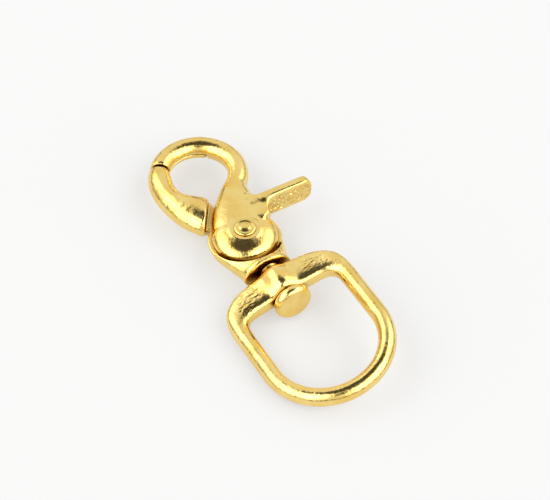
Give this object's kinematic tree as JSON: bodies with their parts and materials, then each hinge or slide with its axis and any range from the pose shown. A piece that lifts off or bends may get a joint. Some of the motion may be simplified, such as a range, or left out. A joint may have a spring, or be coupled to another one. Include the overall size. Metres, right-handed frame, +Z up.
{
  "type": "swivel hook",
  "caption": "Scissor snap hook with a sprung trigger jaw and thumb lever, joined by a swivel to a D-shaped strap eye.",
  "frame": {"origin": "under the middle of the object's box, at the height of the surface that it lies on", "axes": "+X along the swivel axis from the hook's nose towards the D eye, +Y towards the thumb lever, +Z up along the jaw pivot"},
  "size_m": [0.0946, 0.0404, 0.0114],
  "materials": {
    "hook_brass": "polished cast brass",
    "eye_brass": "polished cast brass",
    "rivet_brass": "polished turned brass",
    "spring_steel": "oiled spring wire"
  },
  "bodies": {
    "hook_body": {"fixed_jaw": "hook_brass", "pivot_rivet": "rivet_brass", "swivel_button": "rivet_brass"},
    "trigger_jaw": {"moving_jaw": "hook_brass", "torsion_spring": "spring_steel"},
    "swivel_eye": {"swivel_d_ring": "eye_brass"}
  },
  "joints": [
    {"name": "jaw_pivot", "type": "hinge", "parent": "hook_body", "child": "trigger_jaw", "pos_m": [-0.00942, -0.00313, 0.00571], "axis": [0, 0, 1], "range_deg": [-45, 0], "stiffness_Nm_per_rad": 0.06, "springref_deg": 34.38, "deforming": ["torsion_spring"]},
    {"name": "swivel", "type": "hinge", "parent": "hook_body", "child": "swivel_eye", "pos_m": [0.00808, -0.00313, 0.00571], "axis": [1, 0, 0], "continuous": true}
  ]
}
